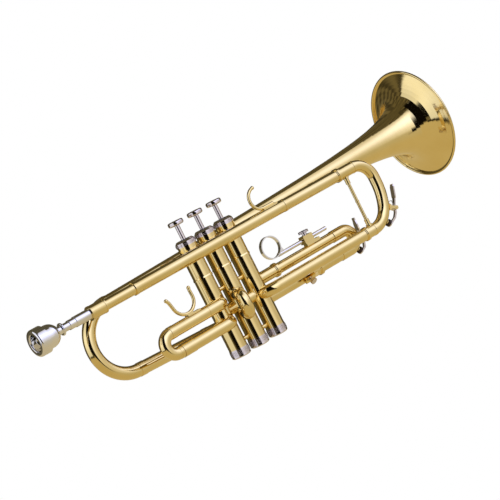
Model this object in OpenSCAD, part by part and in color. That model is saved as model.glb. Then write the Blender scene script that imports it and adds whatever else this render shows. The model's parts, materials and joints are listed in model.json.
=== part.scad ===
// Trumpet in B flat with three piston valves.
// Frame: the origin is the mouth of the mouthpiece receiver, on the leadpipe's axis.
// +X runs along the leadpipe towards the bell, +Z is up towards the finger buttons and
// +Y is the player's left, so the bell lies on the +Y side of the valves.

/* [Overall] */
// Receiver mouth to the plane of the bell rim, along X
body_length = 481.5; // [470:0.5:500]
// Distance from the leadpipe's axis to the bell's axis, along Y
bell_side = 36.5; // [35.5:0.5:44]
// Angle by which the bell rises towards its rim, in degrees
bell_rise = 0.97; // [0:0.01:1.5]

/* [Bell] */
// Outer diameter of the bell at its rim
bell_diameter = 121.8; // [110:0.2:135]
// Distance scale of the flare: a small value opens late and fast
bell_flare_start = 8; // [7:0.5:10]
// Power of the flare
bell_flare_power = 0.578; // [0.56:0.001:0.6]
// Thickness of the bell's sheet
bell_wall = 0.6; // [0.5:0.05:0.9]
// Diameter of the rolled bead round the rim
rim_bead = 2.8; // [2.4:0.1:3.6]
// Radius of the bell's bow, on the tube's centre line
bow_radius = 36.3; // [30:0.1:42]
// Angle by which the tail falls from the bow to the first valve, in degrees
tail_fall = 2.6; // [0:0.1:3]
// Outer diameter of the bow and of the tail that follows it
bow_diameter = 13.4; // [12.6:0.1:14]

/* [Leadpipe and main slide] */
// Outer diameter of every outer slide tube
tube_diameter = 12.5; // [12:0.1:13]
// Wall of the slide tubes
tube_wall = 0.5; // [0.4:0.05:0.6]
// Clearance between an inner and an outer slide tube, on the radius
slide_clearance = 0.05; // [0.02:0.01:0.09]
// Length of the turned collar at the receiver's mouth
receiver_collar = 18; // [12:0.5:22]
// Length of the whole receiver
receiver_length = 54; // [46:1:60]
// Where the leadpipe ends in the main slide's outer tube, along X
leadpipe_end = 251.6; // [240:1:258]
// Where the main slide's outer tubes end, along X
main_tube_end = 331; // [318:1:336]
// Distance from the leadpipe down to the main slide's lower tube
main_drop = 67; // [64:0.5:69]
// Length of the ferrules that join the main slide's legs to its bow
main_ferrule = 20.6; // [14:0.2:24]

/* [Valves] */
// Distance between the axes of neighbouring valves
valve_pitch = 25.1; // [24:0.1:27]
// Middle valve's place, along X
valve_middle = 165.7; // [160:0.5:172]
// Distance from the leadpipe's axis to the valves' axes, along Y
valve_side = 17.5; // [17.4:0.1:18]
// Outer diameter of the casings
casing_diameter = 19.8; // [19.2:0.1:20.6]
// Diameter of the casings' bore
casing_bore = 17; // [16.6:0.1:17.4]
// Height of the casings' bottom end, along Z
casing_bottom = -104; // [-108:1:-100]
// Height of the casings' top end, along Z
casing_top = 14.2; // [13:0.1:15]
// Height of the seam between the upper and the lower part of a casing
casing_seam = -24.5; // [-28:0.5:-20]
// Clearance between piston and casing, on the radius
piston_clearance = 0.04; // [0.02:0.01:0.09]
// Depth that a valve travels when it is pressed
valve_travel = 14.8; // [13:0.1:14.8]
// Diameter of the valve stems
stem_diameter = 5; // [4:0.1:5.5]
// Diameter of the finger buttons
button_diameter = 16.3; // [14:0.1:18]
// Height of the finger buttons
button_height = 4.8; // [4:0.1:6]
// Outer diameter of the valve caps
cap_diameter = 20.8; // [20.4:0.1:21.6]
// Height of the top caps
top_cap_height = 6.2; // [5.8:0.1:8]
// Height of the bottom caps
bottom_cap_height = 9; // [8:0.1:11]

/* [Valve slides] */
// Height of the valve slides' upper legs, along Z
upper_leg_z = -54.2; // [-56:0.1:-52]
// Distance between the two legs of a valve slide
leg_pitch = 20.6; // [20:0.1:22]
// Distance of the first slide from the leadpipe's plane, along Y
first_side = 1.4; // [1:0.1:1.6]
// Reach of the first slide behind the first valve's axis
first_reach = 89; // [76:1:92]
// Reach of the second slide out from the second valve's axis
second_reach = 37; // [36:0.5:44]
// Angle by which the second slide points back towards the player, in degrees
second_angle = 23; // [15:1:25]
// Reach of the third slide in front of the third valve's axis
third_reach = 142.3; // [130:1:146]

/* [Fittings] */
// Outer diameter of the finger ring
ring_diameter = 24; // [22:0.5:25]
// Width of the finger ring's band
ring_width = 4.5; // [3:0.1:6]
// Diameter of the rod that carries the finger ring
ring_rod_diameter = 4; // [3:0.1:4.2]
// Diameter of the wire of the thumb saddle and the finger hook
hook_wire = 3.4; // [2.6:0.1:4]
// Diameter of the hole for a lyre's stem
lyre_hole = 4.6; // [4:0.1:5]

/* [Mouthpiece] */
// Outer diameter of the mouthpiece's rim
cup_diameter = 27.2; // [25:0.1:28]
// Inner diameter of the mouthpiece's rim
cup_opening = 16.6; // [15:0.1:18]
// Length of the mouthpiece from its rim to the receiver's mouth
mouthpiece_out = 64.8; // [60:0.2:70]
// Length of the shank inside the receiver
mouthpiece_in = 24; // [20:0.5:28]

/* [Hidden] */
VALVES = [1, 2, 3];

GOLD = [0.86, 0.68, 0.32];
NICKEL = [0.78, 0.76, 0.77];
SILVER = [0.86, 0.86, 0.88];
CORK = [0.16, 0.11, 0.10];
FELT = [0.30, 0.30, 0.32];
$fn = 64;

gap = 0.05;
tube_r = tube_diameter / 2;
tube_in_r = tube_r - tube_wall;
leg_r = tube_in_r - slide_clearance;
leg_in_r = leg_r - tube_wall;
bow_r = bow_diameter / 2;
bow_in_r = bow_r - bell_wall;
casing_r = casing_diameter / 2;
bore_r = casing_bore / 2;
cap_r = cap_diameter / 2;

// End of the bow where the bell begins, and the length of the bell from there
bow_x = 41.5;
bow_z = -0.75 - bow_radius;
bell_x = bow_x - bow_radius * sin(bell_rise);
bell_z = bow_z + bow_radius * cos(bell_rise);
bell_length = (body_length - bell_x) / cos(bell_rise);
// Start of the tail at the bow, and its end at the elbow into the first casing
tail_x = bow_x - bow_radius * sin(tail_fall);
tail_top_z = bow_z - bow_radius * cos(tail_fall);
tail_elbow_r = 12;
tail_end = valve_x(1) - tail_elbow_r;
tail_z = tail_top_z - (tail_end - tail_x) * tan(tail_fall);

function valve_x(v) = valve_middle + (v - 2) * valve_pitch;
// Outer radius of the bell at a distance from the plane of its rim
function bell_r(d) =
  bell_diameter / 2 * pow((d + bell_flare_start) / bell_flare_start, -bell_flare_power);

// ---- Shapes that repeat ----

// A disc or ring in the plane, for a solid rod (inner 0) or a tube
module section(outer, inner = 0) {
  difference() {
    circle(r = outer);
    if (inner > 0) circle(r = inner);
  }
}

// A straight piece along +X from the origin
module straight(length, outer, inner = 0) {
  rotate([0, 90, 0]) linear_extrude(height = length) section(outer, inner);
}

// A bend that starts at the origin along +X and turns towards -Z
module bend(radius, angle, outer, inner = 0) {
  translate([0, 0, -radius]) rotate([-90, -90, 0])
    rotate_extrude(angle = angle, $fn = 96) translate([radius, 0]) section(outer, inner);
}

// A run of pieces, each [length, 0] for a straight one or [radius, angle] for a bend,
// with a thin soldered seam over each joint
seam_lap = 0.03;
module run(pieces, outer, inner, i = 0) {
  if (i > 0 && i < len(pieces)) band(0, 0.6, outer + seam_lap, inner - seam_lap);
  if (i < len(pieces)) {
    size = pieces[i][0];
    angle = pieces[i][1];
    if (angle == 0) {
      straight(size, outer, inner);
      translate([size, 0, 0]) run(pieces, outer, inner, i + 1);
    } else {
      bend(size, angle, outer, inner);
      translate([0, 0, -size]) rotate([0, angle, 0]) translate([0, 0, size])
        run(pieces, outer, inner, i + 1);
    }
  }
}

// A bent wire: a run of solid pieces with a small ball at each joint and at its tip;
// a bend with a negative radius turns towards +Z
module wire_run(pieces, r, i = 0) {
  size = pieces[i][0];
  angle = pieces[i][1];
  if (angle == 0) straight(size, r);
  else mirror([0, 0, size < 0 ? 1 : 0]) bend(abs(size), angle, r);
  drop = angle == 0 ? 0 : size;
  turn = size < 0 ? -angle : angle;
  translate([0, 0, -drop]) rotate([0, turn, 0]) translate([angle == 0 ? size : 0, 0, drop]) {
    sphere(r = r + (i == len(pieces) - 1 ? 0.2 : 0.05));
    if (i < len(pieces) - 1) wire_run(pieces, r, i + 1);
  }
}

// A ring round a tube that lies along X, with its middle at x
module band(x, width, outer, inner) {
  translate([x - width / 2, 0, 0]) straight(width, outer, inner);
}

// A flat strip in the XZ plane through points, with round joints, centred on Y
module strip(points, thick, width) {
  rotate([90, 0, 0]) linear_extrude(height = width, center = true) {
    for (p = points) translate(p) circle(d = thick, $fn = 24);
    for (i = [1:len(points) - 1]) {
      from = points[i - 1];
      step = points[i] - from;
      translate(from) rotate(atan2(step[1], step[0]))
        translate([0, -thick / 2]) square([norm(step), thick]);
    }
  }
}

// A knurled screw head: a disc with a row of round grooves, on the XY plane
module knurled(r, height, count) {
  difference() {
    cylinder(r = r, h = height);
    for (i = [0:count - 1])
      rotate(i * 360 / count) translate([r, 0, -1]) cylinder(r = 0.45, h = height + 2, $fn = 16);
  }
}

// The space that a valve casing takes, for what is cut to fit against it
module casing_space(v) {
  translate([valve_x(v), valve_side, casing_bottom]) cylinder(r = casing_r, h = casing_top - casing_bottom);
}

// ---- Mouthpiece and leadpipe ----

shank_r = 5.25;
shank_tip_r = 4.8;
receiver_r = 7;
sleeve_r = 5.5;

function shank_at(x) = shank_r - (shank_r - shank_tip_r) * x / mouthpiece_in;

module mouthpiece() {
  rim_r = cup_diameter / 2;
  hole_r = cup_opening / 2;
  start = -mouthpiece_out;
  color(SILVER) rotate([0, 90, 0]) rotate_extrude() difference() {
    union() {
      // Rounded rim, straight band, groove and bowl of the cup
      translate([hole_r + 1, start]) square([rim_r - hole_r - 3.4, 3]);
      translate([rim_r - 2.4, start + 2.4]) circle(r = 2.4);
      translate([hole_r + 2.4, start + 2.4]) circle(r = 2.4);
      translate([0, start + 2.4]) square([rim_r, 8.4]);
      translate([0, start + 10.8]) square([rim_r - 1.5, 1.2]);
      translate([0, start + 12]) square([rim_r - 2.2, 4.2]);
      intersection() {
        translate([0, start + 16.2]) circle(r = rim_r - 2.2);
        translate([0, start + 16]) square([rim_r, 14]);
      }
      // Neck, bead and the two steps up to the shank
      translate([0, start + 20]) square([4.1, mouthpiece_out - 20]);
      translate([0, start + 30.6]) square([5.4, 2]);
      translate([5.4, start + 31.6]) circle(r = 1);
      translate([0, start + 40]) square([4.75, mouthpiece_out - 40]);
      translate([0, start + 47.2]) square([shank_r, mouthpiece_out - 47.2]);
      polygon([[0, -0.5], [shank_r, -0.5], [shank_r, 0], [shank_tip_r, mouthpiece_in], [0, mouthpiece_in]]);
    }
    // Cup, throat and backbore
    translate([0, start - 1]) square([hole_r, 3.4]);
    intersection() {
      translate([0, start + 2.4]) scale([1, 1.15]) circle(r = hole_r);
      translate([0, start]) square([hole_r, 14]);
    }
    translate([0, start + 8]) square([1.85, mouthpiece_out + mouthpiece_in]);
    polygon([[0, start + 28], [1.85, start + 28], [4.3, mouthpiece_in + 1], [0, mouthpiece_in + 1]]);
  }
}

module mouthpiece_receiver() {
  color(GOLD) difference() {
    union() {
      straight(receiver_length, sleeve_r);
      straight(receiver_collar, receiver_r);
      band(receiver_collar - 0.8, 1.6, receiver_r + 0.25, 1);
      band(1, 2, receiver_r + 0.25, 1);
    }
    // Taper for the shank, then the seat of the leadpipe
    rotate([0, 90, 0]) cylinder(r1 = shank_r + gap, r2 = shank_tip_r + gap, h = mouthpiece_in);
    translate([mouthpiece_in - 0.01, 0, 0]) straight(receiver_length, shank_tip_r + gap);
  }
}

module leadpipe() {
  color(GOLD) translate([receiver_length, 0, 0]) {
    straight(leadpipe_end - receiver_length, tube_r, shank_tip_r + gap);
    band(1.5, 3, tube_r + 0.3, shank_tip_r + gap + 0.1);
  }
}

module end_ring() {
  band(-1.5, 3, tube_r + 1.1, tube_r - 0.1);
  band(-3.6, 1.2, tube_r + 0.5, tube_r - 0.1);
}

module upper_slide_tube() {
  color(GOLD) {
    translate([leadpipe_end, 0, 0]) straight(main_tube_end - leadpipe_end, tube_r, tube_in_r);
    translate([main_tube_end, 0, 0]) end_ring();
    band(leadpipe_end + 1.5, 3, tube_r + 0.3, tube_r - 0.1);
  }
}

elbow_r = 12.8;
lower_tube_x = valve_x(3) + elbow_r;

module lower_slide_tube() {
  color(GOLD) translate([0, 0, -main_drop]) {
    translate([lower_tube_x, 0, 0]) straight(main_tube_end - lower_tube_x, tube_r, tube_in_r);
    translate([main_tube_end, 0, 0]) end_ring();
  }
}

// Quarter bend from a tube along X into the side of a casing, cut to the casing
module casing_elbow(v, x_side, y_side, z, radius, outer, inner = 0) {
  from_y = y_side > 0 ? bell_side : first_side;
  difference() {
    translate([valve_x(v) + x_side * radius, from_y, z])
      mirror([x_side > 0 ? 1 : 0, 0, 0]) rotate([y_side > 0 ? -90 : 90, 0, 0])
        bend(radius, 90, outer, inner);
    casing_space(v);
  }
}

module return_elbow() {
  color(GOLD) difference() {
    translate([lower_tube_x, 0, -main_drop]) mirror([1, 0, 0]) rotate([90, 0, 0])
      bend(elbow_r, 90, tube_r, tube_in_r);
    casing_space(3);
  }
}

// ---- Bell ----

// Moves to the end of the bow, with +X along the bell
module at_bell() {
  translate([bell_x, bell_side, bell_z]) rotate([0, -bell_rise, 0]) children();
}

bead_r = rim_bead / 2;
bead_at = bell_diameter / 2 - bead_r;
// Distances from the rim: close together in the flare, further apart in the long throat
flare_end = 50.4;
throat_step = (bell_length - flare_end - 4.2) / 196;
bell_steps = concat([for (i = [0:15]) 0.9 + i * i * 0.22],
                    [for (i = [1:14]) flare_end + i * i * throat_step]);
rim_flat = 0.3;

module bell() {
  outline = [for (d = bell_steps) [bell_r(d), bell_length - d]];
  inside = [for (i = [len(bell_steps) - 1:-1:0])
    [bell_r(bell_steps[i]) - bell_wall, bell_length - bell_steps[i]]];
  start = [[bow_r - 0.1, 0], [bow_in_r, 0]];
  front = bell_length - rim_flat;
  color(GOLD) at_bell() rotate([0, 90, 0]) {
    rotate_extrude($fn = 128)
      polygon(concat([[bead_at, front - 1]], outline, start, inside, [[bead_at, front - 0.1]]));
    // Bead rolled over at the rim, with a narrow flat in front that the bell can stand on
    rotate_extrude($fn = 128) difference() {
      translate([bead_at, bell_length - bead_r]) circle(r = bead_r);
      translate([0, front]) square([bell_diameter, bead_r]);
    }
  }
}

// Moves to the bow's lower end, with +X along the tail
module at_tail() {
  translate([tail_x, bell_side, tail_top_z]) rotate([0, tail_fall, 0]) children();
}

module bell_bow() {
  color(GOLD) at_tail() rotate([0, 180, 0])
    bend(bow_radius, 180 - bell_rise - tail_fall, bow_r, bow_in_r);
}

// The tail with a given radius, drawn once outside and once inside; a slightly wider
// ring joins the sloping tube to the level elbow
tail_length = (tail_end - tail_x) / cos(tail_fall);
module tail_shape(r) {
  at_tail() straight(tail_length + 0.2, r);
  at_tail() band(tail_length, 1.4, r + 0.1, 0);
  casing_elbow(1, -1, 1, tail_z, tail_elbow_r, r);
}

module bell_tail() {
  color(GOLD) difference() {
    union() {
      tail_shape(bow_r);
      at_tail() for (x = [4, tail_length - 2]) band(x, 7, bow_r + 0.35, 1);
    }
    tail_shape(bow_in_r);
    at_tail() band(0, 1, bow_in_r, 0);
  }
}

// The bell tapers, so each brace stops at the bell's radius at its own place
brace_places = [112, 268];

module bell_braces() {
  color(GOLD) for (x = brace_places) {
    d = bell_length - (x - bell_x);
    far_y = bell_side - bell_r(d) + 0.4;
    difference() {
      translate([x, tube_r - 1, 1]) rotate([-90, 0, 0]) {
        cylinder(r = 1.7, h = far_y - tube_r + 1);
        cylinder(r = 4, h = 2);
        translate([0, 0, far_y - tube_r - 0.6]) cylinder(r = 3.6, h = 1.6);
        translate([0, 0, (far_y - tube_r) / 2 + 0.2]) cylinder(r = 2.5, h = 1.6);
      }
      straight(body_length, tube_r + 0.02);
      at_bell() rotate([0, 90, 0]) rotate_extrude()
        polygon(concat([for (s = bell_steps) [bell_r(s) + 0.02, bell_length - s]],
          [[0, 0], [0, bell_length]]));
    }
  }
}

// ---- Valve casings ----

cap_join_r = casing_r - 0.55;
cap_bottom_z = casing_bottom + 2;
cap_top_z = casing_top - 3.2;
guide_z = casing_seam;
guide_half = 1.2;
keyway_height = 13;
upper_leg_drop = upper_leg_z - leg_pitch;

crossover_z = -65;
port_r = 5;

// Openings in a casing's wall, each [angle about Z, height]
function ports(v) =
  v == 1 ? [[-90, upper_leg_z], [-90, upper_leg_drop], [90, tail_z], [0, crossover_z]] :
  v == 2 ? [[-90 - second_angle, upper_leg_z], [-90 - second_angle, upper_leg_drop],
            [180, crossover_z], [0, crossover_z]] :
  [[-90, -main_drop], [0, upper_leg_z], [0, upper_leg_drop], [180, crossover_z]];

module valve_casing(v) {
  color(GOLD) difference() {
    translate([valve_x(v), valve_side, 0]) difference() {
      union() {
        translate([0, 0, cap_bottom_z]) cylinder(r = casing_r, h = cap_top_z - cap_bottom_z);
        translate([0, 0, casing_bottom]) cylinder(r = cap_join_r, h = casing_top - casing_bottom);
        translate([0, 0, casing_seam - 1]) cylinder(r = casing_r + 0.5, h = 1);
        translate([0, 0, casing_seam]) cylinder(r1 = casing_r + 0.5, r2 = casing_r - 0.1, h = 1.6);
      }
      translate([0, 0, casing_bottom - 1]) cylinder(r = bore_r, h = casing_top - casing_bottom + 2);
      for (p = ports(v)) translate([0, 0, p[1]]) rotate(p[0]) straight(casing_r + 2, port_r);
      // Keyway for the two wings of the valve guide
      translate([-bore_r - 0.5, -guide_half - gap, guide_z - guide_half - gap])
        cube([casing_bore + 1, 2 * (guide_half + gap), keyway_height]);
    }
    if (v > 1) translate([-valve_pitch, 0, 0]) seam_ring_space(v);
  }
}

// The seam rings of neighbouring casings stay apart
module seam_ring_space(v) {
  translate([valve_x(v), valve_side, casing_seam - 1]) cylinder(r = casing_r + 0.6, h = 2.6);
}

// What joins two neighbouring casings: a cylinder between them, cut to both
module between_casings(v, z, r, inner = 0) {
  difference() {
    translate([valve_x(v), valve_side, z]) straight(valve_pitch, r, inner);
    casing_space(v);
    casing_space(v + 1);
  }
}

module crossover_tubes() {
  color(GOLD) for (v = [1, 2]) between_casings(v, crossover_z, port_r + 1, port_r);
}

module casing_braces() {
  color(GOLD) for (v = [1, 2], z = [-43, -97, 4]) between_casings(v, z, 2.1);
}

module top_cap(v) {
  top = cap_top_z + top_cap_height;
  color(NICKEL) translate([valve_x(v), valve_side, 0]) difference() {
    union() {
      translate([0, 0, cap_top_z]) cylinder(r = cap_r, h = top_cap_height - 2);
      translate([0, 0, cap_top_z + 0.8]) knurled(cap_r + 0.35, 2.4, 40);
      translate([0, 0, top - 2]) cylinder(r1 = cap_r, r2 = cap_r - 2, h = 2);
    }
    translate([0, 0, cap_top_z - 1]) cylinder(r = cap_join_r + gap, h = casing_top - cap_top_z + 1.8);
    translate([0, 0, cap_top_z]) cylinder(r = stem_diameter / 2 + 0.1, h = top_cap_height + 1);
    translate([0, 0, top - felt_height]) cylinder(r = felt_r + gap, h = felt_height + 1);
  }
}
felt_height = 1.4;
felt_r = 4.6;

module cap_felts() {
  top = cap_top_z + top_cap_height;
  color(FELT) for (v = VALVES) translate([valve_x(v), valve_side, top - felt_height]) difference() {
    cylinder(r = felt_r, h = felt_height + 0.3);
    translate([0, 0, -1]) cylinder(r = stem_diameter / 2 + 0.3, h = felt_height + 3);
  }
}

module bottom_cap(v) {
  color(NICKEL) translate([valve_x(v), valve_side, cap_bottom_z - bottom_cap_height]) difference() {
    union() {
      cylinder(r1 = cap_r - 1.4, r2 = cap_r - 0.3, h = 1);
      translate([0, 0, 1]) cylinder(r = cap_r - 0.3, h = bottom_cap_height - 1);
      translate([0, 0, 3]) knurled(cap_r, bottom_cap_height - 4.6, 40);
    }
    translate([0, 0, bottom_cap_height - 4.4]) cylinder(r = cap_join_r + gap, h = 6);
    translate([0, 0, 2]) cylinder(r = bore_r - 0.6, h = bottom_cap_height);
    translate([0, 0, -1]) cylinder(r = 1.6, h = 4);
  }
}

// ---- Pistons ----

piston_r = bore_r - piston_clearance;
piston_bottom = -85;
barrel_bottom = casing_seam - 5;
barrel_top = 7;
barrel_r = piston_r - 1.8;
stop_gap = 0.3;
button_z = cap_top_z + top_cap_height + 0.3 + valve_travel + stop_gap;

module piston(v) {
  color(NICKEL) translate([valve_x(v), valve_side, 0]) difference() {
    translate([0, 0, piston_bottom]) cylinder(r = piston_r, h = barrel_top - piston_bottom);
    translate([0, 0, barrel_bottom]) cylinder(r = barrel_r, h = barrel_top - barrel_bottom + 1);
    translate([0, 0, piston_bottom - 1]) cylinder(r = 3, h = 6);
    // Passages between the slides' ports
    for (z = [upper_leg_z, upper_leg_drop]) translate([0, 0, z])
      rotate(ports(v)[1][0]) straight(piston_r + 1, port_r - 0.4);
    translate([-piston_r - 1, 0, crossover_z]) straight(2 * piston_r + 2, port_r - 0.4);
    // Slots that let the barrel slide past the wings of the guide
    translate([-piston_r - 1, -guide_half - 0.4, guide_z - guide_half - 0.4])
      cube([2 * piston_r + 2, 2 * guide_half + 0.8, valve_travel + 2 * guide_half + 3]);
  }
}

// The guide is held in the casing's keyway, and the spring stands on it
module valve_guides() {
  color(NICKEL) for (v = VALVES) translate([valve_x(v), valve_side, guide_z - guide_half]) {
    difference() {
      union() {
        cylinder(r = barrel_r - 0.35, h = 2 * guide_half);
        translate([-bore_r - 0.5 + gap, -guide_half, 0])
          cube([casing_bore + 1 - 2 * gap, 2 * guide_half, 2 * guide_half]);
      }
      translate([0, 0, -1]) cylinder(r = 3.2, h = 5);
    }
  }
}

spring_wire = 0.9;
spring_r = barrel_r - spring_wire / 2 - 1;
spring_turns = 7;
spring_steps = 14;
spring_from = guide_z + guide_half + spring_wire / 2 + 0.05;
spring_to = barrel_top - spring_wire / 2 - 0.05;

module valve_spring(v) {
  sides = 6;
  count = spring_turns * spring_steps;
  rise = (spring_to - spring_from) / count;
  points = [for (i = [0:count], k = [0:sides - 1])
    let (a = i * 360 / spring_steps, b = k * 360 / sides, r = spring_r + spring_wire / 2 * cos(b))
    [r * cos(a), r * sin(a), spring_from + i * rise + spring_wire / 2 * sin(b)]];
  skin = [for (i = [0:count - 1], k = [0:sides - 1])
    let (n = (k + 1) % sides)
    [i * sides + k, i * sides + n, (i + 1) * sides + n, (i + 1) * sides + k]];
  ends = [[for (k = [sides - 1:-1:0]) k], [for (k = [0:sides - 1]) count * sides + k]];
  color(NICKEL) translate([valve_x(v), valve_side, 0])
    polyhedron(points = points, faces = concat([for (f = skin) [f[3], f[2], f[1], f[0]]],
      [for (f = ends) [for (k = [len(f) - 1:-1:0]) f[k]]]));
}

module valve_stem(v) {
  color(NICKEL) translate([valve_x(v), valve_side, 0]) {
    translate([0, 0, barrel_top]) cylinder(r = piston_r - 0.2, h = 2);
    translate([0, 0, barrel_top + 2]) cylinder(r = 5, h = 2.5);
    translate([0, 0, barrel_top + 4]) cylinder(d = stem_diameter, h = button_z - barrel_top - 4);
  }
}

module finger_button(v) {
  r = button_diameter / 2;
  color(NICKEL) translate([valve_x(v), valve_side, button_z]) rotate_extrude() difference() {
    union() {
      square([r - 1.6, button_height]);
      translate([0, 1.4]) square([r, button_height - 3]);
      translate([r - 1.6, 1.5]) circle(r = 1.5);
      translate([r - 1.6, button_height - 1.6]) circle(r = 1.6);
    }
    // Shallow dish for the fingertip
    translate([0, button_height + 38.9]) circle(r = 39.6, $fn = 256);
  }
}

// ---- First valve slide, with the thumb saddle ----

slide_bend = leg_pitch / 2;
first_bow_x = valve_x(1) - first_reach + slide_bend + tube_r;
first_elbow = 10;
first_seam = valve_x(1) - 23.5;

module first_fixed_tubes() {
  color(GOLD) {
    // Upper leg: the elbow carries an inner tube, which the moving sleeve runs on
    casing_elbow(1, -1, -1, upper_leg_z, first_elbow, tube_r, leg_in_r);
    translate([0, first_side, upper_leg_z]) {
      translate([first_seam, 0, 0])
        straight(valve_x(1) - first_elbow - first_seam, tube_r, leg_in_r);
      translate([first_seam - 40, 0, 0]) straight(40, leg_r, leg_in_r);
    }
    // Lower leg: an outer tube with a wide ferrule at its end
    casing_elbow(1, -1, -1, upper_leg_drop, first_elbow, tube_r, tube_in_r);
    translate([0, first_side, upper_leg_drop]) {
      translate([first_bow_x + 4, 0, 0])
        straight(valve_x(1) - first_elbow - first_bow_x - 4, tube_r, tube_in_r);
      band(first_bow_x + 11.5, 15, tube_r + 0.35, tube_r - 0.1);
    }
  }
}

module first_slide() {
  color(GOLD) translate([0, first_side, 0]) {
    translate([first_bow_x, 0, upper_leg_z])
      straight(first_seam - stop_gap - first_bow_x, tube_r, tube_in_r);
    translate([first_bow_x, 0, upper_leg_drop]) {
      straight(3.7, tube_r, leg_in_r);
      straight(34, leg_r, leg_in_r);
    }
    translate([first_bow_x, 0, upper_leg_drop]) rotate([0, 180, 0])
      bend(slide_bend, 180, tube_r - 0.1, leg_in_r);
    translate([0, 0, upper_leg_z]) band(first_bow_x + 3, 6, tube_r + 0.2, tube_r - 0.3);
  }
}

// Keeps what rests on a tube out of it: the tube's space along X
module tube_space(y, z, from, to, r = tube_r) {
  translate([from, y, z]) straight(to - from, r + 0.02);
}

saddle_x = valve_x(1) - 43.2;
saddle_r = 13;
leg_length = 5;
leg_lean = 3;
flare_r = 8;
flare_turn = 20;

module thumb_saddle() {
  wire = hook_wire / 2;
  lift = upper_leg_z + tube_r + wire + 0.2;
  // Both legs of the U flare out at their tips
  side = saddle_r * cos(leg_lean) - leg_length * sin(leg_lean)
    + flare_r * (cos(leg_lean) - cos(flare_turn - leg_lean));
  height = saddle_r * (1 + sin(leg_lean)) + leg_length * cos(leg_lean)
    + flare_r * (sin(leg_lean) + sin(flare_turn - leg_lean));
  color(GOLD) translate([0, first_side, 0]) difference() {
    union() {
      translate([saddle_x + side, 0, lift + height]) {
        rotate([0, 90 + flare_turn - leg_lean, 0])
          wire_run([[-flare_r, flare_turn], [leg_length, 0], [saddle_r, 170], [6.5, 0], [-10, 28]], wire);
        sphere(r = wire + 0.2);
      }
      // Foot plate that is soldered along the top of the sleeve
      translate([saddle_x - 3, -3, upper_leg_z + tube_r - 1.2]) cube([16, 6, 1.9]);
      translate([saddle_x - 4, -1.7, upper_leg_z + tube_r - 0.5]) cube([9, 3.4, 2.6]);
    }
    tube_space(0, upper_leg_z, 0, first_seam);
  }
}

// ---- Second valve slide ----

second_bow = second_reach - slide_bend - tube_r;
second_tube = casing_r + 7;

// Moves to the second valve with +X pointing out along its slide
module at_second() {
  translate([valve_x(2), valve_side, 0]) rotate(-90 - second_angle) children();
}

module second_fixed_tubes() {
  color(GOLD) difference() {
    at_second() for (z = [upper_leg_z, upper_leg_drop]) translate([0, 0, z]) {
      straight(second_tube, tube_r, tube_in_r);
      band(second_tube - 1, 2, tube_r + 0.5, tube_r - 0.1);
    }
    casing_space(2);
  }
}

module second_slide() {
  color(GOLD) at_second() {
    for (z = [upper_leg_z, upper_leg_drop]) translate([casing_r + 0.6, 0, z])
      straight(second_bow - casing_r - 0.6, leg_r, leg_in_r);
    for (z = [upper_leg_z, upper_leg_drop])
      translate([second_tube + stop_gap, 0, z])
        straight(second_bow - second_tube - stop_gap, tube_r, leg_in_r);
    translate([second_bow, 0, upper_leg_z]) bend(slide_bend, 180, tube_r, leg_in_r);
  }
}

// ---- Third valve slide, with the finger ring ----

third_bow_x = valve_x(3) + third_reach - slide_bend - tube_r;
third_upper_end = valve_x(3) + 32;
third_lower_end = valve_x(3) + 81;

module third_fixed_tubes() {
  ends = [[upper_leg_z, third_upper_end], [upper_leg_drop, third_lower_end]];
  color(GOLD) difference() {
    for (e = ends) translate([0, valve_side, e[0]]) {
      translate([valve_x(3), 0, 0]) straight(e[1] - valve_x(3), tube_r, tube_in_r);
      translate([e[1], 0, 0]) end_ring();
    }
    casing_space(3);
  }
}

module third_slide() {
  start = valve_x(3) + casing_r + 1;
  color(GOLD) translate([0, valve_side, 0]) {
    for (z = [upper_leg_z, upper_leg_drop]) {
      translate([start, 0, z]) straight(third_bow_x - start, leg_r, leg_in_r);
      translate([third_bow_x - 15, 0, z]) straight(15, tube_r, leg_r - 0.1);
    }
    translate([third_bow_x, 0, upper_leg_z]) bend(slide_bend, 180, tube_r, leg_in_r);
    // Nipple of the water key, on the underside of the bow
    translate([third_bow_x, 0, upper_leg_z - slide_bend]) rotate([0, third_nipple, 0])
      translate([slide_bend + tube_r - 0.4, 0, 0]) straight(1.4, 2.2, 1.2);
  }
}
third_nipple = 57;

rod_r = ring_rod_diameter / 2;
rod_z = upper_leg_z + 11.7;
clamp_x = valve_x(3) + 75.7;
clamp_length = 12.2;
screw_r = 1.5;

module rod_clamp() {
  height = 8.2;
  color(GOLD) translate([0, valve_side, 0]) difference() {
    union() {
      translate([clamp_x, -4.4, rod_z - 4]) cube([clamp_length, 8.8, height]);
      translate([clamp_x + 1.5, -3.2, upper_leg_z + leg_r - 1]) cube([18, 6.4, 3.4]);
    }
    translate([clamp_x - 1, 0, rod_z]) straight(clamp_length + 2, rod_r + gap);
    translate([clamp_x + clamp_length / 2, 0, rod_z]) cylinder(r = screw_r + gap, h = 9);
    tube_space(0, upper_leg_z, clamp_x - 2, clamp_x + 30, leg_r);
  }
}

rod_to = valve_x(3) + 109;
ring_x = valve_x(3) + 37;
ring_z = upper_leg_z + 22.2;

module ring_rod() {
  r = ring_diameter / 2;
  rod_from = ring_x + sqrt(r * r - pow(ring_z - rod_z, 2)) - 1.2;
  color(SILVER) translate([0, valve_side, 0]) {
    translate([ring_x, 0, ring_z]) rotate([90, 0, 0]) difference() {
      union() {
        cylinder(r = r, h = ring_width, center = true);
        // Neck between the ring and the rod
        linear_extrude(height = 2.6, center = true)
          polygon([[r * 0.4, -r * 0.8], [r * 0.95, -r * 0.25], [r + 1, rod_z - ring_z + rod_r],
                   [r + 7, rod_z - ring_z + rod_r - 0.3], [r + 7, rod_z - ring_z]]);
      }
      cylinder(r = r - 1.2, h = ring_width + 1, center = true);
    }
    translate([rod_from, 0, rod_z]) straight(rod_to - rod_from, rod_r);
  }
}

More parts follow.
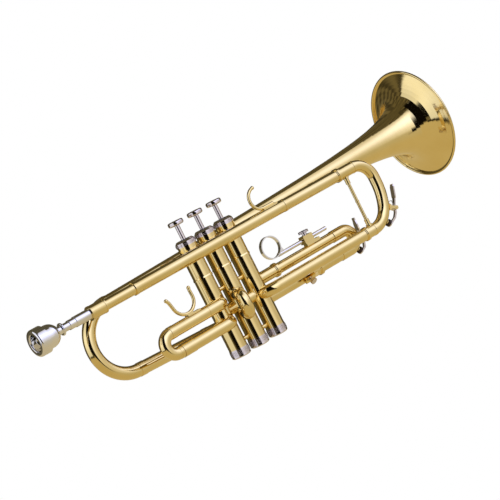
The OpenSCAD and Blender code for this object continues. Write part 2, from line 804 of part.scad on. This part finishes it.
module clamp_screw() {
  color(NICKEL) translate([clamp_x + clamp_length / 2, valve_side, 0]) {
    translate([0, 0, rod_z + rod_r + gap]) cylinder(r = screw_r, h = 4);
    translate([0, 0, rod_z + 4.5]) cylinder(r = 2.6, h = 2.2);
    translate([0, 0, rod_z + 6.6]) knurled(5.4, 2.4, 24);
  }
}

// ---- Main tuning slide ----

main_bow_x = main_tube_end + main_ferrule;
main_top_r = 20;
main_side_r = 60;
main_side_turn = 25;
main_low_r = 27;
main_low_x = main_bow_x + main_top_r
  - main_side_r * (1 - cos(main_side_turn)) - main_low_r * cos(main_side_turn);
main_low_z = main_low_r - main_drop;
main_straight = main_drop - main_top_r
  - main_side_r * sin(main_side_turn) - main_low_r * (1 - sin(main_side_turn));
bow_tube_r = tube_r - 0.15;
main_nipple = 54;

module main_slide() {
  leg_from = main_tube_end - 62;
  bow = [[main_top_r, 90], [main_straight, 0], [main_side_r, main_side_turn],
         [main_low_r, 90 - main_side_turn]];
  color(GOLD) {
    for (z = [0, -main_drop]) translate([leg_from, 0, z]) {
      end = z == 0 ? main_bow_x : main_low_x;
      straight(end - leg_from, leg_r, leg_in_r);
      translate([main_tube_end + stop_gap - leg_from, 0, 0])
        straight(end - main_tube_end - stop_gap, tube_r - 0.05, leg_r - 0.1);
      band(end - leg_from, 2.4, tube_r + 0.2, leg_in_r - seam_lap);
    }
    translate([main_bow_x, 0, 0]) run(bow, bow_tube_r, leg_in_r);
    // Nipple of the water key, on the underside of the bow
    translate([main_low_x, 0, main_low_z]) rotate([0, main_nipple, 0])
      translate([main_low_r + bow_tube_r - 0.3, 0, 0]) straight(1.4, 2.4, 1.3);
  }
}

brace_x = main_tube_end + 7.4;

module slide_brace() {
  inner = main_drop - 2 * tube_r;
  color(GOLD) difference() {
    translate([brace_x, 0, -main_drop]) {
      cylinder(r = 1.7, h = main_drop);
      for (end = [tube_r - 1, main_drop - tube_r - 7]) translate([0, 0, end]) cylinder(r = 2.5, h = 8);
      for (end = [tube_r - 1, main_drop - tube_r - 1]) translate([0, 0, end]) cylinder(r = 3.4, h = 2);
      translate([0, 0, tube_r + inner / 2 - 1]) cylinder(r = 2, h = 2);
    }
    for (z = [0, -main_drop]) tube_space(0, z, brace_x - 6, brace_x + 6, tube_r - 0.05);
  }
}

// ---- Water keys ----

// A key is drawn about its pivot: +X points away from the bow and the cork is below
pin_r = 1.1;

// Two ears and a pin between them, on a foot that reaches to the bow
module key_saddle(foot) {
  rotate([90, 0, 0]) cylinder(r = pin_r, h = 9, center = true);
  for (side = [-1, 1]) translate([0, side * 3.6, 0]) rotate([90, 0, 0])
    cylinder(r = 2.1, h = 1.2, center = true);
  for (side = [-1, 1]) translate([-foot, side * 3.6 - 0.6, -1.6]) cube([foot, 1.2, 3.2]);
  translate([-foot - 2, -4.2, -3]) cube([2.4, 8.4, 6]);
}

// The lever's hub turns on the pin, with the arm and the finger plate on its two sides
module key_lever(arm, paddle, taper) {
  from = paddle[1][1] - 1;
  tip = paddle[2][1] + 0.8;
  difference() {
    union() {
      rotate([90, 0, 0]) cylinder(r = 2.4, h = 4, center = true);
      strip(arm, 2, 3);
      strip(paddle, 1.5, 4);
      intersection() {
        strip([paddle[1], paddle[2]], 1.5, 6);
        rotate([0, -90, 0]) linear_extrude(height = 60, center = true)
          polygon([[from, -2.2], [from + 3, -3.2], [tip - taper, -3.2], [tip - taper / 3, -1.9], [tip, -0.8],
                   [tip, 0.8], [tip - taper / 3, 1.9], [tip - taper, 3.2], [from + 3, 3.2], [from, 2.2]]);
      }
    }
    rotate([90, 0, 0]) cylinder(r = pin_r + gap, h = 8, center = true);
  }
}

main_key_angle = 27;
main_pivot_out = main_low_r + bow_tube_r + 8;
main_pivot = [main_low_x + main_pivot_out * cos(main_key_angle), 0,
              main_low_z - main_pivot_out * sin(main_key_angle)];
main_cork_out = main_low_r + bow_tube_r + 1.5;
// Height of the arm's middle above the face that the cork closes
cup_lift = 3.8;
// Middle of the lever's cork cup, seen from the pivot
main_cup = [main_low_x + (main_cork_out + cup_lift) * cos(main_nipple) - main_pivot[0],
            main_low_z - (main_cork_out + cup_lift) * sin(main_nipple) - main_pivot[2]];

// Moves to the main slide's nipple, with +Z pointing away from the bow
module at_main_nipple() {
  translate([main_low_x, 0, main_low_z]) rotate([0, main_nipple, 0])
    translate([main_cork_out, 0, 0]) rotate([0, 90, 0]) children();
}

module main_key_saddle() {
  color(GOLD) difference() {
    translate(main_pivot) rotate([0, main_key_angle, 0]) key_saddle(7);
    translate([main_low_x, 0, main_low_z]) rotate([90, 0, 0])
      rotate_extrude() translate([main_low_r, 0]) circle(r = bow_tube_r);
    translate([main_bow_x + main_top_r - main_side_r, 0, -main_top_r - main_straight])
      rotate([90, 0, 0]) rotate_extrude() translate([main_side_r, 0]) circle(r = bow_tube_r);
  }
}

module main_key_lever() {
  color(NICKEL) {
    translate(main_pivot) {
      key_lever([[0, 0], [-1.6, -4.4], [-5.6, -8.8], main_cup], [[0, 1], [5.2, 9.5], [10, 22.6]], 3);
    }
    at_main_nipple() translate([0, 0, 2.6]) cylinder(r = 3.6, h = 1.2);
  }
}

module main_key_cork() {
  color(CORK) at_main_nipple() cylinder(r = 3.9, h = 2.55);
}

// Flat spring: an eye on the pin at each side, and legs that bear on the bow
module main_key_spring() {
  eye_r = pin_r + 0.15;
  color(NICKEL) translate(main_pivot) {
    for (side = [-1, 1]) translate([0, side * 2.6, 0]) {
      rotate([90, 0, 0]) difference() {
        cylinder(r = eye_r + 0.5, h = 0.5, center = true);
        cylinder(r = eye_r, h = 1, center = true);
      }
      translate([-eye_r - 0.5, -0.25, 0]) cube([0.5, 0.5, 9]);
    }
    translate([-eye_r - 0.5, -2.85, 8.5]) cube([0.5, 5.7, 0.5]);
  }
}

third_pivot = [third_bow_x + slide_bend + tube_r + 3.4, valve_side, upper_leg_z - slide_bend - 3];

third_cork_out = slide_bend + tube_r + 1.1;
third_cup = [third_bow_x + (third_cork_out + cup_lift) * cos(third_nipple) - third_pivot[0],
             upper_leg_z - slide_bend - (third_cork_out + cup_lift) * sin(third_nipple) - third_pivot[2]];

module third_key_saddle() {
  color(GOLD) difference() {
    translate(third_pivot) key_saddle(3.6);
    translate([third_bow_x, valve_side, upper_leg_z - slide_bend]) rotate([-90, 0, 0]) {
      rotate_extrude() translate([slide_bend, 0]) circle(r = tube_r + 0.02);
      cylinder(r = slide_bend + tube_r * 0.7, h = 20, center = true);
    }
  }
}

module at_third_nipple() {
  translate([third_bow_x, valve_side, upper_leg_z - slide_bend]) rotate([0, third_nipple, 0])
    translate([third_cork_out, 0, 0]) rotate([0, 90, 0]) children();
}

module third_key_lever() {
  color(NICKEL) {
    translate(third_pivot)
      key_lever([[0, 0], [-0.2, -6.5], [-2.6, -12.4], third_cup], [[0, 1], [-0.6, 6], [0.6, 19]], 8);
    at_third_nipple() translate([0, 0, 2.6]) cylinder(r = 3.4, h = 1.2);
  }
}

module third_key_cork() {
  color(CORK) at_third_nipple() cylinder(r = 3.7, h = 2.55);
}

// ---- Hook and lyre socket ----

hook_x = 230;
hook_r = 11.5;

module pinky_hook() {
  wire = hook_wire / 2;
  color(GOLD) difference() {
    union() {
      translate([hook_x + 12, 0, tube_r + wire - 0.2]) rotate([0, 180, 0])
        wire_run([[12, 0], [hook_r, 172]], wire);
      translate([hook_x - 2, -3, tube_r - 1.6]) cube([18, 6, 2.4]);
      translate([hook_x + 12, 0, tube_r + wire - 0.2]) sphere(r = wire + 0.05);
    }
    tube_space(0, 0, hook_x - 20, hook_x + 30);
  }
}

lyre_x = valve_x(3) + 50;
lyre_size = 7.4;
lyre_length = 12;
lyre_y = valve_side - 10.1;
lyre_z = upper_leg_drop - 1.2;

// Moves to the middle of the socket's length, with +Z along the screw, down and outwards
module at_lyre() {
  translate([lyre_x + lyre_length / 2, lyre_y, lyre_z]) rotate([135, 0, 0]) children();
}

module lyre_socket() {
  color(GOLD) difference() {
    union() {
      at_lyre() cube([lyre_length, lyre_size, lyre_size], center = true);
      // Lug that is soldered along the slide's tube
      translate([lyre_x + 4, lyre_y + 3, lyre_z - 3.4]) cube([lyre_length + 5, 2.6, 3.4]);
    }
    translate([lyre_x - 1, lyre_y, lyre_z]) straight(lyre_length + 2, lyre_hole / 2);
    at_lyre() cylinder(r = screw_r + gap, h = lyre_size);
    tube_space(valve_side, upper_leg_drop, lyre_x - 12, lyre_x + 30);
  }
}

module lyre_screw() {
  from = lyre_hole / 2 + 0.3;
  color(NICKEL) at_lyre() {
    translate([0, 0, from]) cylinder(r = screw_r, h = lyre_size / 2 + 1.6 - from);
    translate([0, 0, lyre_size / 2 + 0.4]) cylinder(r = 2.4, h = 2.2);
    translate([0, 0, lyre_size / 2 + 2.4]) knurled(3.6, 2.4, 20);
  }
}

mouthpiece();
mouthpiece_receiver();
leadpipe();
upper_slide_tube();
lower_slide_tube();
return_elbow();
bell();
bell_bow();
bell_tail();
bell_braces();
for (v = VALVES) {
  valve_casing(v);
  top_cap(v);
  bottom_cap(v);
  piston(v);
  valve_stem(v);
  finger_button(v);
  valve_spring(v);
}
crossover_tubes();
casing_braces();
valve_guides();
cap_felts();
first_fixed_tubes();
first_slide();
thumb_saddle();
second_fixed_tubes();
second_slide();
third_fixed_tubes();
third_slide();
rod_clamp();
ring_rod();
clamp_screw();
main_slide();
slide_brace();
main_key_saddle();
main_key_lever();
main_key_cork();
main_key_spring();
third_key_saddle();
third_key_lever();
third_key_cork();
pinky_hook();
lyre_socket();
lyre_screw();
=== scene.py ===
import json
import math

import bmesh
import bpy
from mathutils import Matrix, Vector


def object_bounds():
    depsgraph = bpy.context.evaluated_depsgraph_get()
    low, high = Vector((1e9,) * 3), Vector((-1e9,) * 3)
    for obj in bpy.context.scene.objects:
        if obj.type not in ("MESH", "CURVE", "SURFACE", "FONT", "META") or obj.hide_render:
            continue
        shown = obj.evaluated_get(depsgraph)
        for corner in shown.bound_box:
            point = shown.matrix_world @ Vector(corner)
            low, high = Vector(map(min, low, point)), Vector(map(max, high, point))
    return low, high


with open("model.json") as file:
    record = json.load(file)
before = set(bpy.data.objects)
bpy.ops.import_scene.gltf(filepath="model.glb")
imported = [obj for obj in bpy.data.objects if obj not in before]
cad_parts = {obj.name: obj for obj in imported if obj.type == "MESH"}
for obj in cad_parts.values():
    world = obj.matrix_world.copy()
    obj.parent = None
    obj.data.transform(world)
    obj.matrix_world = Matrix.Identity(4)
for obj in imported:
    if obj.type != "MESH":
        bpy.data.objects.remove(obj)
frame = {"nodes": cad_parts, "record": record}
cad_low, cad_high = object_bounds()
scene = bpy.context.scene
NODES = frame["nodes"]
SLOT_OF = {s["node"]: s["material_slot"] for s in frame["record"]["subparts"]}


# ---------------------------------------------------------------- materials

# Where most of a noise's values lie
NOISE_RANGE = (0.3, 0.7)


def material(name, color, metallic, roughness, coat=0.0):
    """A principled material, with its node tree ready for detail."""
    mat = bpy.data.materials.new(name)
    mat.use_nodes = True
    tree = mat.node_tree
    shader = tree.nodes["Principled BSDF"]
    shader.inputs["Base Color"].default_value = (*color, 1)
    shader.inputs["Metallic"].default_value = metallic
    shader.inputs["Roughness"].default_value = roughness
    shader.inputs["Coat Weight"].default_value = coat
    shader.inputs["Coat Roughness"].default_value = 0.03
    return mat, tree, shader


def noise(tree, scale, detail=3.0, stretch=(1, 1, 1), rough=0.5):
    """Noise over the piece's own coordinates, stretched along the axes."""
    coords = tree.nodes.new("ShaderNodeTexCoord")
    mapping = tree.nodes.new("ShaderNodeMapping")
    mapping.inputs["Scale"].default_value = stretch
    tex = tree.nodes.new("ShaderNodeTexNoise")
    tex.inputs["Scale"].default_value = scale
    tex.inputs["Detail"].default_value = detail
    tex.inputs["Roughness"].default_value = rough
    tree.links.new(coords.outputs["Object"], mapping.inputs["Vector"])
    tree.links.new(mapping.outputs["Vector"], tex.inputs["Vector"])
    return tex.outputs["Fac"]


def ramp(tree, source, stops):
    """A colour from a value, through (place, colour) stops."""
    made = tree.nodes.new("ShaderNodeValToRGB")
    band = made.color_ramp
    while len(band.elements) < len(stops):
        band.elements.new(0.5)
    for element, (place, color) in zip(band.elements, stops):
        element.position = place
        element.color = (*color, 1)
    tree.links.new(source, made.inputs["Fac"])
    return made.outputs["Color"]


def level(tree, source, low, high):
    """A value moved from the noise's usual range to low..high."""
    made = tree.nodes.new("ShaderNodeMapRange")
    made.inputs["From Min"].default_value = NOISE_RANGE[0]
    made.inputs["From Max"].default_value = NOISE_RANGE[1]
    made.inputs["To Min"].default_value = low
    made.inputs["To Max"].default_value = high
    tree.links.new(source, made.inputs["Value"])
    return made.outputs["Result"]


def bump(tree, shader, layers):
    """Bump from (source, strength, distance in metres) layers, chained."""
    last = None
    for source, strength, distance in layers:
        made = tree.nodes.new("ShaderNodeBump")
        made.inputs["Strength"].default_value = strength
        made.inputs["Distance"].default_value = distance
        tree.links.new(source, made.inputs["Height"])
        if last:
            tree.links.new(last, made.inputs["Normal"])
        last = made.outputs["Normal"]
    tree.links.new(last, shader.inputs["Normal"])


def make_brass(name, tint):
    """Lacquered brass: faint patches and haze, drawn hairlines, a clear coat."""
    mat, tree, shader = material(name, tint, metallic=1.0, roughness=0.08, coat=0.35)
    patches = noise(tree, scale=22, detail=4)
    deep = tuple(c * k for c, k in zip(tint, (0.93, 0.90, 0.80)))
    tree.links.new(ramp(tree, patches, [(0.35, tint), (0.68, deep)]), shader.inputs["Base Color"])
    hazes = noise(tree, scale=60, detail=5)
    tree.links.new(level(tree, hazes, low=0.045, high=0.12), shader.inputs["Roughness"])
    wave = noise(tree, scale=55, detail=1)
    hairs = noise(tree, scale=900, detail=2, stretch=(1, 6, 6))
    bump(tree, shader, [(wave, 0.10, 0.0006), (hairs, 0.03, 0.00003)])
    return mat


def make_plate(name, tint, low, high):
    """Plated metal, with its roughness between low and high."""
    mat, tree, shader = material(name, tint, metallic=1.0, roughness=low)
    patches = noise(tree, scale=40, detail=4)
    deep = tuple(c * 0.88 for c in tint)
    tree.links.new(ramp(tree, patches, [(0.35, tint), (0.7, deep)]), shader.inputs["Base Color"])
    hazes = noise(tree, scale=120, detail=5)
    tree.links.new(level(tree, hazes, low, high), shader.inputs["Roughness"])
    wave = noise(tree, scale=70, detail=1)
    hairs = noise(tree, scale=1200, detail=2, stretch=(4, 4, 1))
    bump(tree, shader, [(wave, 0.08, 0.0005), (hairs, 0.05, 0.00003)])
    return mat


def make_ground(name, tint, low, high, stretch):
    """Bare metal with grinding or drawing lines, which lie across the longer stretch."""
    mat, tree, shader = material(name, tint, metallic=1.0, roughness=low)
    lines = noise(tree, scale=500, detail=4, stretch=stretch)
    deep = tuple(c * 0.75 for c in tint)
    tree.links.new(ramp(tree, lines, [(0.3, tint), (0.75, deep)]), shader.inputs["Base Color"])
    tree.links.new(level(tree, lines, low, high), shader.inputs["Roughness"])
    bump(tree, shader, [(lines, 0.25, 0.00005)])
    return mat


def make_cork(name):
    """Dark cork: matt and grainy."""
    mat, tree, shader = material(name, (0.035, 0.018, 0.014), metallic=0.0, roughness=0.75)
    grains = noise(tree, scale=700, detail=5, rough=0.7)
    stops = [
        (0.3, (0.012, 0.006, 0.005)),
        (0.55, (0.045, 0.022, 0.016)),
        (0.8, (0.12, 0.06, 0.035)),
    ]
    tree.links.new(ramp(tree, grains, stops), shader.inputs["Base Color"])
    tree.links.new(level(tree, grains, low=0.6, high=0.9), shader.inputs["Roughness"])
    bump(tree, shader, [(grains, 0.6, 0.0003)])
    return mat


def make_felt(name):
    """Grey felt: a fuzzy surface with a sheen."""
    mat, tree, shader = material(name, (0.05, 0.05, 0.06), metallic=0.0, roughness=0.95)
    shader.inputs["Sheen Weight"].default_value = 0.5
    fuzz = noise(tree, scale=1500, detail=6, rough=0.8)
    stops = [(0.3, (0.025, 0.025, 0.03)), (0.7, (0.1, 0.1, 0.115))]
    tree.links.new(ramp(tree, fuzz, stops), shader.inputs["Base Color"])
    tree.links.new(level(tree, fuzz, low=0.85, high=1.0), shader.inputs["Roughness"])
    bump(tree, shader, [(fuzz, 0.7, 0.0004)])
    return mat


BRASS = (0.90, 0.73, 0.35)
MATERIALS = {
    "gold_brass": make_brass("lacquered_brass", BRASS),
    "nickel": make_plate("nickel_plate", (0.80, 0.74, 0.76), 0.07, 0.15),
    "silver": make_plate("silver_plate", (0.90, 0.90, 0.93), 0.05, 0.12),
    "monel": make_ground("ground_monel", (0.52, 0.49, 0.46), 0.22, 0.38, (1, 1, 8)),
    "spring_steel": make_ground("drawn_steel", (0.50, 0.50, 0.52), 0.20, 0.35, (1, 1, 1)),
    "cork": make_cork("dark_cork"),
    "felt": make_felt("grey_felt"),
}

for name, obj in NODES.items():
    obj.data.materials.clear()
    obj.data.materials.append(MATERIALS[SLOT_OF[name]])


# ---------------------------------------------------------------- studio

# Middle of the trumpet, and the sizes of what stands round it, in metres
CENTRE = Vector((0.19, 0.02, -0.04))
DOME_RADIUS = 6
FLOOR_RADIUS = 5
FLOOR_BELOW = 0.02


def stage_mesh(name, bm):
    """An object of the stage, made from a bmesh."""
    mesh = bpy.data.meshes.new(name)
    bm.to_mesh(mesh)
    bm.free()
    obj = bpy.data.objects.new(name, mesh)
    scene.collection.objects.link(obj)
    return obj


def emitter(name):
    """A material that only gives off white light."""
    mat = bpy.data.materials.new(name)
    mat.use_nodes = True
    tree = mat.node_tree
    tree.nodes.remove(tree.nodes["Principled BSDF"])
    glow = tree.nodes.new("ShaderNodeEmission")
    glow.inputs["Color"].default_value = (1, 1, 1, 1)
    glow.inputs["Strength"].default_value = 1
    tree.links.new(glow.outputs["Emission"], tree.nodes["Material Output"].inputs["Surface"])
    return mat, tree, glow


def smooth(value, low, high):
    """0 below low, 1 above high, and a soft step between."""
    t = min(1.0, max(0.0, (value - low) / (high - low)))
    return t * t * (3 - 2 * t)


def inside(value, low, high, edge):
    """1 between low and high and 0 outside, with soft edges."""
    return smooth(value, low - edge, low + edge) * (1 - smooth(value, high - edge, high + edge))


DARK = Vector((0.105, 0.088, 0.048))
TAN = Vector((0.58, 0.475, 0.27))
BLACK = Vector((0.004, 0.003, 0.002))
BACK_LIGHT = Vector((1.0, 1.0, 1.05))
FRONT_LIGHT = Vector((0.56, 0.50, 0.36))
FRONT_PEAK = Vector((0.66, 0.76, 1.35))
FRONT_NEAR = Vector((0.30, 0.32, 0.42))

# Where the light comes from, in degrees: azimuth from +X towards +Y, height above level
FLOOR_EDGE = (-14, -9)
BACK_AZIMUTH = (139, 206)
BACK_HEIGHT = (-9.5, 56)
BACK_PEAK_HEIGHT = 22
BACK_PEAK_SPREAD = 20
FRONT_AZIMUTH = (244, 350)
FRONT_TOP = (57, 61)
FRONT_FOOT = (-62, -14)
FRONT_PEAK_HEIGHT = 30
FRONT_PEAK_SPREAD = 25
FRONT_NEAR_EDGE = (262, 318)
FRONT_NEAR_HEIGHT = (-16, 50)
GAP_MIDDLE = 231
GAP_HALF_WIDTH = 24
GAP_LEAST_WIDTH = 2.0
GAP_HEIGHT = (-29, 70)
LINE_AZIMUTH = (160, 215)
LINE_HEIGHT = (-13, -9.5)

# Degrees of azimuth, or of half width, for each degree of height
GAP_LEAN_ABOVE = 0.22
GAP_LEAN_BELOW = 1.35
GAP_NARROWING = 0.75

# The dark room's uneven upright bands, in radians for each degree of azimuth
BAND_RATE = 0.42
BAND_DRIFT = 1.7
BAND_DRIFT_RATE = 0.13


def gap_centre(height):
    """The dark gap between the soft boxes leans: high up it is nearer to the player."""
    lean = GAP_LEAN_ABOVE if height > 0 else GAP_LEAN_BELOW
    return GAP_MIDDLE - lean * height


def gap_half_width(height):
    """The gap narrows below the horizon."""
    if height > 0:
        return GAP_HALF_WIDTH
    return max(GAP_LEAST_WIDTH, GAP_HALF_WIDTH + GAP_NARROWING * height)


def hump(value, middle, spread):
    """1 at the middle, falling away over the spread."""
    return math.exp(-((value - middle) / spread) ** 2)


def studio(direction):
    """Light that comes from a direction: two large soft boxes, a dark gap, a pale floor."""
    azimuth = math.degrees(math.atan2(direction.y, direction.x)) % 360
    height = math.degrees(math.asin(max(-1.0, min(1.0, direction.z))))
    drift = BAND_DRIFT * math.sin(azimuth * BAND_DRIFT_RATE)
    band = 0.5 + 0.5 * math.sin(azimuth * BAND_RATE + drift)
    light = DARK * (0.45 + 1.0 * band)
    # Pale floor, which comes up to a low horizon
    light = light.lerp(TAN, 1 - smooth(height, *FLOOR_EDGE))
    # Soft box behind the player
    back = inside(azimuth, *BACK_AZIMUTH, edge=2.0) * inside(height, *BACK_HEIGHT, edge=1.5)
    glow = 0.80 + 0.30 * hump(height, BACK_PEAK_HEIGHT, BACK_PEAK_SPREAD)
    light = light.lerp(BACK_LIGHT * glow, back)
    # Soft box in front, brightest above the middle and running down into the floor
    front = inside(azimuth, *FRONT_AZIMUTH, edge=1.5) * (1 - smooth(height, *FRONT_TOP))
    front *= smooth(height, *FRONT_FOOT)
    peak = hump(height, FRONT_PEAK_HEIGHT, FRONT_PEAK_SPREAD)
    near = 1 - smooth(azimuth, *FRONT_NEAR_EDGE)
    box = FRONT_LIGHT + FRONT_PEAK * peak
    box += FRONT_NEAR * near * inside(height, *FRONT_NEAR_HEIGHT, edge=8)
    light = light.lerp(box, front)
    # Black gap between the two, where the camera stands
    middle = gap_centre(height)
    width = gap_half_width(height)
    gap = inside(azimuth, middle - width, middle + width, edge=3.0)
    gap *= inside(height, *GAP_HEIGHT, edge=3)
    light = light.lerp(BLACK, gap)
    # Thin dark line under the soft box behind the player
    line = inside(azimuth, *LINE_AZIMUTH, edge=3) * inside(height, *LINE_HEIGHT, edge=1.3)
    return light.lerp(BLACK, line)


def make_studio():
    """A dome round the trumpet that lights it and that only reflections see."""
    bm = bmesh.new()
    bmesh.ops.create_uvsphere(bm, u_segments=360, v_segments=180, radius=DOME_RADIUS)
    layer = bm.verts.layers.float_color.new("light")
    for v in bm.verts:
        v[layer] = (*studio(v.co.normalized()), 1)
    bmesh.ops.reverse_faces(bm, faces=bm.faces)
    dome = stage_mesh("studio_dome", bm)
    dome.location = CENTRE
    mat, tree, glow = emitter("studio_light")
    light = tree.nodes.new("ShaderNodeAttribute")
    light.attribute_name = "light"
    tree.links.new(light.outputs["Color"], glow.inputs["Color"])
    dome.data.materials.append(mat)
    dome.visible_camera = False
    dome.visible_shadow = False


def make_floor():
    """A plain white floor for the camera, which casts and reflects nothing."""
    bm = bmesh.new()
    bmesh.ops.create_circle(bm, cap_ends=True, segments=96, radius=FLOOR_RADIUS)
    floor = stage_mesh("pale_floor", bm)
    floor.location = (CENTRE.x, CENTRE.y, cad_low[2] - FLOOR_BELOW)
    mat = emitter("pale_floor_white")[0]
    floor.data.materials.append(mat)
    floor.visible_glossy = False
    floor.visible_diffuse = False
    floor.visible_shadow = False


make_studio()
make_floor()

world = bpy.data.worlds.new("white")
world.use_nodes = True
world.node_tree.nodes["Background"].inputs["Color"].default_value = (1, 1, 1, 1)
world.node_tree.nodes["Background"].inputs["Strength"].default_value = 1
scene.world = world
scene.view_settings.view_transform = "Standard"
scene.view_settings.look = "None"

# ---------------------------------------------------------------- camera

CAMERA_AT = Vector((-0.87939, -1.60815, 0.12985))
RIGHT = Vector((0.724423, -0.525315, -0.446380))
DOWN = Vector((-0.411447, 0.190058, -0.891398))
AHEAD = Vector((0.553103, 0.829411, -0.078457))
camera_data = bpy.data.cameras.new("camera")
camera = bpy.data.objects.new("camera", camera_data)
scene.collection.objects.link(camera)
scene.camera = camera
camera_data.sensor_width = 36
camera_data.lens = 141.49
camera_data.clip_start = 0.05
camera_data.clip_end = 50
turn = Matrix((RIGHT, -DOWN, -AHEAD)).transposed()
camera.matrix_world = Matrix.Translation(CAMERA_AT) @ turn.to_4x4()
